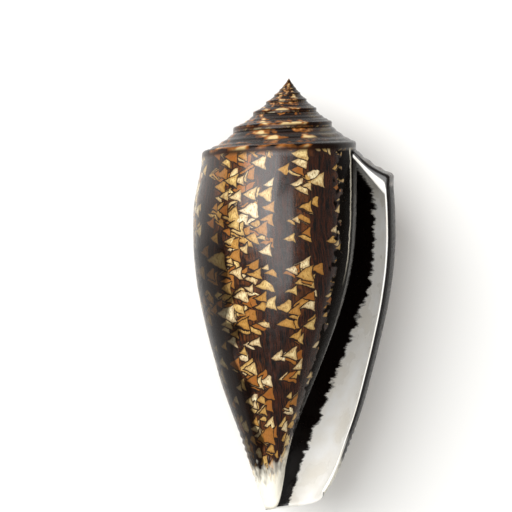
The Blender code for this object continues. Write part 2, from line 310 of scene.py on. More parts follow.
def shell_tree(glaze, lining):
    """The whole shell: ramps, flank, inner skin, lip, base rim, columella tip and blind end."""
    whorl = whorl_group()
    side_end = end_group(whorl)
    side = side_group(whorl)
    space = space_group()
    ramp = ramp_group(whorl)
    tree, given = new_group("GeometryNodeTree", "Cone Shell", SHELL_SIZES, {"Shell": "NodeSocketGeometry"})
    length, lip_radius, expansion, wall_size, lip_size, thread_size, line_size, cord_size, seed = given[:9]

    def side_at(turn, row, top_row=0.0):
        """Radius and depth on the side, with row 0 at a given share of the way down from the seam."""
        seam = add(tree, "GeometryNodeGroup", turn, lip_radius, expansion, node_tree=whorl)
        end = add(tree, "GeometryNodeGroup", turn, length, lip_radius, expansion, node_tree=side_end)
        share = add(tree, "ShaderNodeMapRange", row, 0.0, 1.0, top_row, 1.0, clamp=False)
        depth = add(tree, "ShaderNodeMix", share, seam.outputs["Seam Depth"], end, clamp_factor=False)
        radius = add(tree, "GeometryNodeGroup", turn, depth, length, lip_radius, expansion, node_tree=side)
        return radius, depth

    def lining_at(turn, row):
        """Radius and depth of the inner skin, which closes on the columella before the tip."""
        before = add(tree, "ShaderNodeMath", turn, 1.0, operation="SUBTRACT")
        seam = add(tree, "GeometryNodeGroup", turn, lip_radius, expansion, node_tree=whorl)
        end = add(tree, "GeometryNodeGroup", turn, length, lip_radius, expansion, node_tree=side_end)
        old_end = add(tree, "GeometryNodeGroup", before, length, lip_radius, expansion, node_tree=side_end)
        closing = add(tree, "ShaderNodeMapRange", turn, TIP_TURN + TIP_BLEND, TIP_TURN, 0.0, 1.0)
        low = add(tree, "ShaderNodeMix", closing, end, old_end)
        share = add(tree, "ShaderNodeMapRange", row, 0.0, 1.0, CEILING_ROW, 1.0, clamp=False)
        depth = add(tree, "ShaderNodeMix", share, seam.outputs["Seam Depth"], low, clamp_factor=False)
        outer = add(tree, "GeometryNodeGroup", turn, depth, length, lip_radius, expansion, node_tree=side)
        older = add(tree, "GeometryNodeGroup", before, depth, length, lip_radius, expansion, node_tree=side)
        thin = add(tree, "ShaderNodeMath", turn, LIP_THINNING_TURNS, operation="DIVIDE")
        fade = add(tree, "ShaderNodeMath", thin, operation="EXPONENT")
        wall = add(tree, "ShaderNodeMix", fade, wall_size, lip_size)
        square = add(tree, "ShaderNodeMath", share, share, operation="MULTIPLY")
        thinning = add(tree, "ShaderNodeMapRange", square, 0.0, 1.0, 1.0, BASE_WALL_SHARE)
        here = add(tree, "ShaderNodeMath", wall, thinning, operation="MULTIPLY")
        inner = add(tree, "ShaderNodeMath", outer, here, operation="SUBTRACT")
        pull_row = add(tree, "ShaderNodeMapRange", row, 0.85, 1.0, 0.0, 1.0,
                       interpolation_type="SMOOTHSTEP")
        pull = add(tree, "ShaderNodeMath", closing, pull_row, operation="MULTIPLY")
        pulled = add(tree, "ShaderNodeMix", pull, inner, older)
        return add(tree, "ShaderNodeMath", pulled, older, operation="MAXIMUM"), depth

    def ceiling_at(turn, row):
        """Radius and depth of the hollow's plain conical ceiling."""
        before = add(tree, "ShaderNodeMath", turn, 1.0, operation="SUBTRACT")
        start_radius, start_depth = side_at(before, 0.0, CEILING_ROW)
        corner_radius, corner_depth = lining_at(turn, 0.0)
        radius = add(tree, "ShaderNodeMix", row, start_radius, corner_radius)
        return radius, add(tree, "ShaderNodeMix", row, start_depth, corner_depth)

    def placed(turn, radius, depth):
        """A point in space from its turn, radius and depth."""
        return add(tree, "GeometryNodeGroup", turn, radius, depth, node_tree=space).outputs[0]

    def bridged(one, two, across, bulge_turn, bulge_depth):
        """A point between two others, bulged along the growth or down the axis in between."""
        turn = add(tree, "ShaderNodeMix", across, one[0], two[0])
        radius = add(tree, "ShaderNodeMix", across, one[1], two[1])
        depth = add(tree, "ShaderNodeMix", across, one[2], two[2])
        angle = add(tree, "ShaderNodeMath", across, math.pi, operation="MULTIPLY")
        wave = add(tree, "ShaderNodeMath", angle, operation="SINE")
        further = add(tree, "ShaderNodeMath", wave, bulge_turn, turn, operation="MULTIPLY_ADD")
        deeper = add(tree, "ShaderNodeMath", wave, bulge_depth, depth, operation="MULTIPLY_ADD")
        return placed(further, radius, deeper)

    patches = []

    # the ramps of the spire, with their spiral threads
    spire_columns = TURN_COLUMNS * SPIRE_TURNS
    spire_turns = (-SPIRE_TURNS, 0.0)
    mesh, turn, across, row, spot = grid_patch(tree, spire_columns, RAMP_ROWS, spire_turns, "ramps", True)
    profile = add(tree, "GeometryNodeGroup", turn, row, lip_radius, expansion, node_tree=ramp)
    position = placed(turn, profile.outputs["Radius"], profile.outputs["Depth"])
    ramps = finish_patch(tree, mesh, position, (turn, row, ON_RAMP, GLAZE_LAYER), spot)
    size = add(tree, "GeometryNodeGroup", turn, lip_radius, expansion, node_tree=whorl)
    scale = add(tree, "ShaderNodeMath", size.outputs["Radius"], LIP_RADIUS, operation="DIVIDE")
    rings = add(tree, "ShaderNodeMath", row, math.tau * RAMP_THREADS, operation="MULTIPLY")
    ripple = add(tree, "ShaderNodeMath", rings, operation="SINE")
    bead_turn = add(tree, "ShaderNodeMath", turn, THREAD_BEADS, operation="MULTIPLY")
    bead_place = add(tree, "ShaderNodeCombineXYZ", bead_turn, row, seed)
    uneven = add(tree, "ShaderNodeTexNoise", bead_place, 1.0, 2.0)
    mixed = add(tree, "ShaderNodeMath", ripple, uneven.outputs[0], operation="ADD")
    to_corner = add(tree, "ShaderNodeMath", RAMP_CORNER, row, operation="SUBTRACT")
    between_edges = add(tree, "ShaderNodeMath", row, to_corner, operation="MULTIPLY")
    within = add(tree, "ShaderNodeMapRange", between_edges, 0.0, 0.08, 0.0, 1.0)
    height = add(tree, "ShaderNodeMath", mixed, within, operation="MULTIPLY")
    before_lip = add(tree, "ShaderNodeMath", turn, -RELIEF_FADE, operation="MULTIPLY", use_clamp=True)
    open_scale = add(tree, "ShaderNodeMath", scale, before_lip, operation="MULTIPLY")
    sized = add(tree, "ShaderNodeMath", height, open_scale, operation="MULTIPLY")
    lifted = add(tree, "ShaderNodeMath", sized, thread_size, operation="MULTIPLY")
    normal = add(tree, "GeometryNodeInputNormal")
    offset = add(tree, "ShaderNodeVectorMath", normal, lifted, operation="SCALE")
    patches.append(add(tree, "GeometryNodeSetPosition", ramps, None, None, offset))

    # the flank of the last whorl, with growth lines, and spiral cords towards the base
    mesh, turn, across, row, spot = grid_patch(tree, TURN_COLUMNS, SIDE_ROWS, (-1.0, 0.0), "flank")
    radius, depth = side_at(turn, row)
    flank = finish_patch(tree, mesh, placed(turn, radius, depth), (turn, row, ON_SIDE, GLAZE_LAYER), spot)
    growth_turn = add(tree, "ShaderNodeMath", turn, GROWTH_LINES, operation="MULTIPLY")
    growth_row = add(tree, "ShaderNodeMath", row, 1.5, operation="MULTIPLY")
    growth_place = add(tree, "ShaderNodeCombineXYZ", growth_turn, growth_row, seed)
    growth = add(tree, "ShaderNodeTexNoise", growth_place, 1.0, 3.0)
    growth_line = add(tree, "ShaderNodeMath", growth.outputs[0], 0.5, operation="SUBTRACT")
    lines = add(tree, "ShaderNodeMath", growth_line, line_size, operation="MULTIPLY")
    cords = add(tree, "ShaderNodeMath", row, math.tau * BASE_CORDS, operation="MULTIPLY")
    cord = add(tree, "ShaderNodeMath", cords, operation="SINE")
    basal = add(tree, "ShaderNodeMapRange", row, 0.66, 0.86, 0.0, 1.0, interpolation_type="SMOOTHSTEP")
    corded = add(tree, "ShaderNodeMath", cord, basal, operation="MULTIPLY")
    raised = add(tree, "ShaderNodeMath", corded, cord_size, lines, operation="MULTIPLY_ADD")
    rest = add(tree, "ShaderNodeMath", 1.0, row, operation="SUBTRACT")
    open_rows = add(tree, "ShaderNodeMath", row, rest, operation="MULTIPLY")
    open_turns = add(tree, "ShaderNodeMath", turn, -RELIEF_FADE, operation="MULTIPLY", use_clamp=True)
    after = add(tree, "ShaderNodeMath", turn, 1.0, operation="ADD")
    young = add(tree, "ShaderNodeMath", after, RELIEF_FADE, operation="MULTIPLY", use_clamp=True)
    edge_rows = add(tree, "ShaderNodeMath", open_rows, 30.0, operation="MULTIPLY", use_clamp=True)
    masked = add(tree, "ShaderNodeMath", edge_rows, open_turns, operation="MULTIPLY")
    both = add(tree, "ShaderNodeMath", masked, young, operation="MULTIPLY")
    relief = add(tree, "ShaderNodeMath", raised, both, operation="MULTIPLY")
    offset = add(tree, "ShaderNodeVectorMath", normal, relief, operation="SCALE")
    patches.append(add(tree, "GeometryNodeSetPosition", flank, None, None, offset))

    # the older whorl's side, which the hollow winds around
    old_columns = round(TURN_COLUMNS * HOLLOW_TURNS)
    old_rows = round(SIDE_ROWS * (1 - CEILING_ROW))
    old_turns = (-1.0 - HOLLOW_TURNS, -1.0)
    hollow_turns = (-HOLLOW_TURNS, 0.0)
    mesh, turn, across, row, spot = grid_patch(tree, old_columns, old_rows, old_turns, "older side")
    share = add(tree, "ShaderNodeMapRange", row, 0.0, 1.0, CEILING_ROW, 1.0, clamp=False)
    position = placed(turn, *side_at(turn, row, CEILING_ROW))
    patches.append(finish_patch(tree, mesh, position, (turn, share, ON_SIDE, OLDER_LAYER), spot))

    # the inner skin of the last whorl, and the hollow's ceiling
    mesh, turn, across, row, spot = grid_patch(tree, old_columns, old_rows, hollow_turns, "inner skin")
    position = placed(turn, *lining_at(turn, row))
    patches.append(finish_patch(tree, mesh, position, (turn, row, ON_SIDE, INNER_LAYER), spot, True))

    mesh, turn, across, row, spot = grid_patch(tree, old_columns, RAMP_ROWS, hollow_turns, "ceiling")
    position = placed(turn, *ceiling_at(turn, row))
    patches.append(finish_patch(tree, mesh, position, (turn, row, ON_RAMP, INNER_LAYER), spot, True))

    # the rounded lip, along the ramp and down the side
    half_lip = add(tree, "ShaderNodeMath", lip_size, 0.5, operation="MULTIPLY")
    around = add(tree, "ShaderNodeMath", lip_radius, math.tau, operation="MULTIPLY")
    lip_bulge = add(tree, "ShaderNodeMath", half_lip, around, operation="DIVIDE")
    mesh, turn, across, row, spot = grid_patch(tree, EDGE_ROWS, RAMP_ROWS, (0.0, 0.0), "lip ramp")
    rounding = add(tree, "ShaderNodeMapRange", row, 0.0, 0.3, 0.0, lip_bulge,
                   interpolation_type="SMOOTHSTEP")
    profile = add(tree, "GeometryNodeGroup", 0.0, row, lip_radius, expansion, node_tree=ramp)
    outer = (0.0, profile.outputs["Radius"], profile.outputs["Depth"])
    inner = (0.0, *ceiling_at(0.0, row))
    free_edge = bridged(outer, inner, across, rounding, 0.0)
    shifted = add(tree, "ShaderNodeMath", across, 0.25, operation="ADD")
    nearest = add(tree, "ShaderNodeMath", shifted, 0.5, operation="SNAP")
    seam_row = add(tree, "ShaderNodeMath", nearest, CEILING_ROW, operation="MULTIPLY")
    seam_edge = placed(-1.0, *side_at(-1.0, seam_row))
    at_seam = add(tree, "ShaderNodeMath", row, 0.001, operation="LESS_THAN")
    position = add(tree, "ShaderNodeMix", at_seam, free_edge, seam_edge, data_type="VECTOR")
    patches.append(finish_patch(tree, mesh, position, (across, row, ON_RAMP, LIP_LAYER), spot))

    mesh, turn, across, row, spot = grid_patch(tree, EDGE_ROWS, SIDE_ROWS, (0.0, 0.0), "lip side")
    rounding = add(tree, "ShaderNodeMapRange", row, 1.0, 0.9, 0.0, lip_bulge,
                   interpolation_type="SMOOTHSTEP")
    inner_row = add(tree, "ShaderNodeMapRange", row, CEILING_ROW, 1.0, 0.0, 1.0)
    outer = (0.0, *side_at(0.0, row))
    position = bridged(outer, (0.0, *lining_at(0.0, inner_row)), across, rounding, 0.0)
    patches.append(finish_patch(tree, mesh, position, (across, row, ON_SIDE, LIP_LAYER), spot))

    # the base rim, from the lip round to the columella tip
    rim_columns = round(-TIP_TURN * TURN_COLUMNS)
    tip = -rim_columns / TURN_COLUMNS
    mesh, turn, across, row, spot = grid_patch(tree, rim_columns, EDGE_ROWS, (tip, 0.0), "base rim")
    from_tip = add(tree, "ShaderNodeMapRange", turn, TIP_TURN, TIP_TURN + 0.08, 0.0, 0.7,
                   interpolation_type="SMOOTHSTEP")
    to_lip = add(tree, "ShaderNodeMapRange", turn, 0.0, -0.03, 0.0, 1.0, interpolation_type="SMOOTHSTEP")
    fading = add(tree, "ShaderNodeMath", from_tip, to_lip, operation="MULTIPLY")
    rim_bulge = add(tree, "ShaderNodeMath", half_lip, fading, operation="MULTIPLY")
    outer = (turn, *side_at(turn, 1.0))
    position = bridged(outer, (turn, *lining_at(turn, 1.0)), row, 0.0, rim_bulge)
    patches.append(finish_patch(tree, mesh, position, (turn, row, ON_RIM, RIM_LAYER), spot))

    # the columella tip, closed from one half turn across to the other
    mesh, turn, across, row, spot = grid_patch(tree, TURN_COLUMNS // 2, EDGE_ROWS, (tip, tip - 0.5), "tip")
    mirror = add(tree, "ShaderNodeMath", 2 * tip - 1.0, turn, operation="SUBTRACT")
    near = placed(turn, *side_at(turn, 1.0))
    far = placed(mirror, *side_at(mirror, 1.0))
    position = add(tree, "ShaderNodeMix", row, near, far, data_type="VECTOR")
    patches.append(finish_patch(tree, mesh, position, (turn, 1.0, ON_SIDE, TIP_LAYER), spot, True))

    # the wall that ends the hollow
    mesh, turn, across, row, spot = grid_patch(tree, RAMP_ROWS, old_rows, (0.0, 0.0), "blind end")
    wall_point = (-HOLLOW_TURNS, *side_at(-1.0 - HOLLOW_TURNS, row, CEILING_ROW))
    skin_point = (-HOLLOW_TURNS, *lining_at(-HOLLOW_TURNS, row))
    position = bridged(wall_point, skin_point, across, 0.0, 0.0)
    blind_place = (-HOLLOW_TURNS, 0.0, ON_SIDE, INNER_LAYER)
    patches.append(finish_patch(tree, mesh, position, blind_place, spot, True))

    # the patches joined, pitched as the shell lies, centred, and set down on the ground
    joined = add(tree, "GeometryNodeJoinGeometry")
    for patch in reversed(patches):
        patch = patch.outputs[0] if isinstance(patch, bpy.types.Node) else patch
        tree.links.new(patch, joined.inputs[0])
    welded = add(tree, "GeometryNodeMergeByDistance", joined, None, WELD_DISTANCE)
    laid = add(tree, "GeometryNodeTransform", welded, Vector((0.0, 0.0, 0.0)), (PITCH, 0.0, 0.0))
    box = add(tree, "GeometryNodeBoundBox", laid)
    middle = add(tree, "ShaderNodeMix", 0.5, box.outputs["Min"], box.outputs["Max"], data_type="VECTOR")
    middle_parts = add(tree, "ShaderNodeSeparateXYZ", middle)
    low_parts = add(tree, "ShaderNodeSeparateXYZ", box.outputs["Min"])
    foot = add(tree, "ShaderNodeCombineXYZ", middle_parts.outputs[0], middle_parts.outputs[1],
               low_parts.outputs[2])
    down = add(tree, "ShaderNodeVectorMath", foot, -1.0, operation="SCALE")
    placed_shell = add(tree, "GeometryNodeSetPosition", laid, None, None, down)
    smooth = add(tree, "GeometryNodeSetShadeSmooth", placed_shell)
    whole = add(tree, "GeometryNodeRealizeInstances", smooth)
    glazed = add(tree, "GeometryNodeSetMaterial", whole, None, glaze)
    coil = add(tree, "GeometryNodeInputNamedAttribute", "coil", data_type="FLOAT_VECTOR")
    layer = add(tree, "ShaderNodeSeparateXYZ", coil.outputs["Attribute"])
    inner = add(tree, "ShaderNodeMath", layer.outputs["Z"], GLAZE_LAYER + 0.5, operation="GREATER_THAN")
    add(tree, "NodeGroupOutput", add(tree, "GeometryNodeSetMaterial", glazed, inner, lining))
    return tree


# --- The shell wall: glaze ------------------------------------------------------------------------
# The outer layer is glassy and marked with overlapping tents, each with its point towards the lip
# and a fine brown outline, over chestnut cloud bands and strips of painted shade.  Inside, the wall is
# white porcelain, painted near black as shade deep in the aperture and along the lip's outer edge.

SHOULDER_GIRTH = 132.0         # millimetres once round the flattened shell at its shoulder
BASE_GIRTH = 62.0
GIRTH_ROW = 0.15               # the girth narrows from this share of the side downwards
SIDE_MILLIMETRES = 74.0
MIDDLE_TURN = 0.70             # the chart is laid out to both sides of this many turns behind the lip
TENT_CURVE = 0.12              # how far a tent's base bows, per millimetre squared
# cell length and height, seed, tent length, half height, share of cells with a tent, and how far
# tents keep out of the clouds and the painted shade stripes, with lengths in millimetres
TENT_LAYERS = (
    (4.2, 3.7, 3.7, 3.9, 1.80, 1.05, 1.00), (4.8, 4.0, 11.3, 4.5, 1.95, 1.00, 1.00),
    (4.0, 3.4, 19.1, 3.7, 1.65, 0.95, 1.05), (5.6, 4.6, 31.7, 5.0, 2.15, 0.80, 1.00),
    (4.4, 3.6, 43.9, 3.8, 1.70, 0.80, 0.95), (6.8, 5.4, 57.1, 5.8, 2.40, 0.50, 0.90),
)
NEAR_BLACK = "0A0503"


def linear(code):
    """An sRGB hex colour as linear red, green, blue and alpha."""
    parts = [int(code[i:i + 2], 16) / 255 for i in (0, 2, 4)]
    return (*(p / 12.92 if p <= 0.04045 else ((p + 0.055) / 1.055) ** 2.4 for p in parts), 1.0)


def chart_group():
    """The coil place as millimetres on the flattened shell: along the spiral, and down the side."""
    tree, given = new_group("ShaderNodeTree", "Shell Chart", {
        "Coil": (0.0, 0.0, 0.0), "Middle Turn": MIDDLE_TURN, "Shoulder Girth": SHOULDER_GIRTH,
        "Base Girth": BASE_GIRTH, "Side Length": SIDE_MILLIMETRES, "Ramp Length": 14.0,
    }, {"Chart": "NodeSocketVector", "Row": "NodeSocketFloat"})
    coil, middle, shoulder_girth, base_girth, side_length, ramp_length = given[:6]
    parts = add(tree, "ShaderNodeSeparateXYZ", coil)
    row = add(tree, "ShaderNodeMath", parts.outputs["Y"], 1.0, operation="SUBTRACT")
    along = add(tree, "ShaderNodeMath", parts.outputs["X"], middle, operation="ADD")
    girth = add(tree, "ShaderNodeMapRange", row, GIRTH_ROW, 1.0, shoulder_girth, base_girth)
    x = add(tree, "ShaderNodeMath", along, girth, operation="MULTIPLY")
    on_ramp = add(tree, "ShaderNodeMath", row, 0.0, operation="LESS_THAN")
    stretch = add(tree, "ShaderNodeMix", on_ramp, side_length, ramp_length)
    y = add(tree, "ShaderNodeMath", row, stretch, operation="MULTIPLY")
    chart = add(tree, "ShaderNodeCombineXYZ", x, y, 0.0)
    add(tree, "NodeGroupOutput", chart, row)
    return tree


def cloud_and_shade_group():
    """How strongly clouds show at a chart place: spiral bands broken by noise, a dark stripe down the
    middle, and painted shade in stripes along the left and right flanks and beside the lip.
    """
    tree, given = new_group("ShaderNodeTree", "Cloud and Painted Shade Bands", {
        "Chart": (0.0, 0.0, 0.0), "Upper Band": 21.0, "Middle Band": 38.0, "Lower Band": 52.0,
        "Band Width": 4.6, "Shoulder Band": 2.0, "Left Flank": 0.075, "Right Flank": -0.20,
        "Lip Flank": 0.685, "Middle Flank": -0.095,
    }, {"Strength": "NodeSocketFloat"})
    chart, upper, middle, lower, width, top = given[:6]
    place = add(tree, "ShaderNodeSeparateXYZ", chart)
    bands = None
    for centre, spread in ((upper, 1.0), (middle, 1.0), (lower, 0.9), (top, 0.5)):
        away = add(tree, "ShaderNodeMath", place.outputs["Y"], centre, operation="SUBTRACT")
        reach = add(tree, "ShaderNodeMath", width, spread, operation="MULTIPLY")
        ratio = add(tree, "ShaderNodeMath", away, reach, operation="DIVIDE")
        square = add(tree, "ShaderNodeMath", ratio, ratio, operation="MULTIPLY")
        fall = add(tree, "ShaderNodeMath", square, -1.0, operation="MULTIPLY")
        band = add(tree, "ShaderNodeMath", fall, operation="EXPONENT")
        bands = band if bands is None else add(tree, "ShaderNodeMath", bands, band, operation="MAXIMUM")
    patchy = add(tree, "ShaderNodeVectorMath", chart, (0.095, 0.16, 1.0), operation="MULTIPLY")
    noise = add(tree, "ShaderNodeTexNoise", patchy, 1.0, 2.0, 0.6)
    broken = add(tree, "ShaderNodeMapRange", noise, 0.45, 0.60, 0.0, 1.0)
    inside = add(tree, "ShaderNodeMath", bands, broken, operation="MULTIPLY")
    stray_place = add(tree, "ShaderNodeVectorMath", chart, (0.15, 0.19, 1.0), operation="MULTIPLY")
    stray = add(tree, "ShaderNodeTexNoise", stray_place, 1.3, 1.0, 0.5)
    strays = add(tree, "ShaderNodeMapRange", stray, 0.62, 0.72, 0.0, 0.7)
    marks = add(tree, "ShaderNodeMath", inside, strays, operation="MAXIMUM")
    girth = add(tree, "ShaderNodeMapRange", place.outputs["Y"], GIRTH_ROW * SIDE_MILLIMETRES,
                SIDE_MILLIMETRES, SHOULDER_GIRTH, BASE_GIRTH)
    turn = add(tree, "ShaderNodeMath", place.outputs["X"], girth, operation="DIVIDE")
    below_top = add(tree, "ShaderNodeMapRange", place.outputs["Y"], 13.0, 20.0, 0.0, 1.0)
    above_tip = add(tree, "ShaderNodeMapRange", place.outputs["Y"], 58.0, 48.0, 0.0, 1.0)
    belt = add(tree, "ShaderNodeMath", below_top, above_tip, operation="MULTIPLY")
    # the left, right and lip stripes are painted shade: along the left edge, over the shaded right side and
    # beside the lip; the middle stripe is a dark band of the pattern, kept to the belt
    for flank in given[6:10]:
        beside = add(tree, "ShaderNodeMath", turn, flank, operation="SUBTRACT")
        share = add(tree, "ShaderNodeMath", beside, 0.034, operation="DIVIDE")
        share_square = add(tree, "ShaderNodeMath", share, share, operation="MULTIPLY")
        drop = add(tree, "ShaderNodeMath", share_square, -1.0, operation="MULTIPLY")
        shade = add(tree, "ShaderNodeMath", drop, operation="EXPONENT")
        ragged = add(tree, "ShaderNodeMapRange", stray, 0.30, 0.50, 0.35, 1.1)
        shaded = add(tree, "ShaderNodeMath", shade, ragged, operation="MULTIPLY")
        if flank is given[9]:
            shaded = add(tree, "ShaderNodeMath", shaded, belt, operation="MULTIPLY")
        marks = add(tree, "ShaderNodeMath", marks, shaded, operation="MAXIMUM")
    add(tree, "NodeGroupOutput", marks)
    return tree


def tent_group(cloud_and_shade_bands):
    """One layer of tents: whether a place is inside one, how far in from its edge, and its own tone."""
    tree, given = new_group("ShaderNodeTree", "Tent Layer", {
        "Chart": (0.0, 0.0, 0.0), "Cell Length": 6.0, "Cell Height": 5.0, "Seed": 0.0,
        "Tent Length": 3.4, "Tent Half Height": 1.9, "Base Curve": 0.10, "Share": 0.9, "Cloud and Shade Avoid": 1.0,
    }, {"Inside": "NodeSocketFloat", "Edge": "NodeSocketFloat", "Tone": "NodeSocketFloat"})
    chart, cell_length, cell_height, seed, length, half, curve, share, avoid = given[:9]
    down_shift = add(tree, "ShaderNodeMath", seed, 0.37, operation="MULTIPLY")
    shift = add(tree, "ShaderNodeCombineXYZ", seed, down_shift, 0.0)
    cell = add(tree, "ShaderNodeCombineXYZ", cell_length, cell_height, 1.0)
    scaled = add(tree, "ShaderNodeVectorMath", chart, cell, operation="DIVIDE")
    moved = add(tree, "ShaderNodeVectorMath", scaled, shift, operation="ADD")
    cells = add(tree, "ShaderNodeTexVoronoi", moved, 1.0, voronoi_dimensions="2D")
    cells.inputs["Randomness"].default_value = 0.85
    away = add(tree, "ShaderNodeVectorMath", moved, cells.outputs["Position"], operation="SUBTRACT")
    real = add(tree, "ShaderNodeVectorMath", away, cell, operation="MULTIPLY")
    parts = add(tree, "ShaderNodeSeparateXYZ", real)
    tones = add(tree, "ShaderNodeSeparateColor", cells.outputs["Color"])
    size = add(tree, "ShaderNodeMapRange", tones.outputs[0], 0.0, 1.0, 0.70, 1.22)
    own_length = add(tree, "ShaderNodeMath", length, size, operation="MULTIPLY")
    own_half = add(tree, "ShaderNodeMath", half, size, operation="MULTIPLY")
    side = add(tree, "ShaderNodeMath", parts.outputs["Y"], operation="ABSOLUTE")
    side_square = add(tree, "ShaderNodeMath", side, side, operation="MULTIPLY")
    bowed = add(tree, "ShaderNodeMath", side_square, curve, parts.outputs["X"], operation="MULTIPLY_ADD")
    half_length = add(tree, "ShaderNodeMath", own_length, 0.5, operation="MULTIPLY")
    from_base = add(tree, "ShaderNodeMath", bowed, half_length, operation="ADD")
    to_point = add(tree, "ShaderNodeMath", own_length, from_base, operation="SUBTRACT")
    taper = add(tree, "ShaderNodeMath", own_half, own_length, operation="DIVIDE")
    room = add(tree, "ShaderNodeMath", to_point, taper, operation="MULTIPLY")
    within = add(tree, "ShaderNodeMath", room, side, operation="SUBTRACT")
    slanting = add(tree, "ShaderNodeMath", within, 0.82, operation="MULTIPLY")
    edge = add(tree, "ShaderNodeMath", slanting, from_base, operation="MINIMUM")
    heart = add(tree, "ShaderNodeVectorMath", cells.outputs["Position"], shift, operation="SUBTRACT")
    heart_place = add(tree, "ShaderNodeVectorMath", heart, cell, operation="MULTIPLY")
    cloud_and_shade_strength = add(tree, "ShaderNodeGroup", heart_place, node_tree=cloud_and_shade_bands)
    lost = add(tree, "ShaderNodeMath", cloud_and_shade_strength, avoid, operation="MULTIPLY")
    kept = add(tree, "ShaderNodeMath", share, lost, operation="SUBTRACT")
    chosen = add(tree, "ShaderNodeMath", tones.outputs[1], kept, operation="LESS_THAN")
    inner = add(tree, "ShaderNodeMath", edge, 0.0, operation="GREATER_THAN")
    add(tree, "NodeGroupOutput", add(tree, "ShaderNodeMath", inner, chosen, operation="MULTIPLY"), edge,
        tones.outputs[2])
    return tree


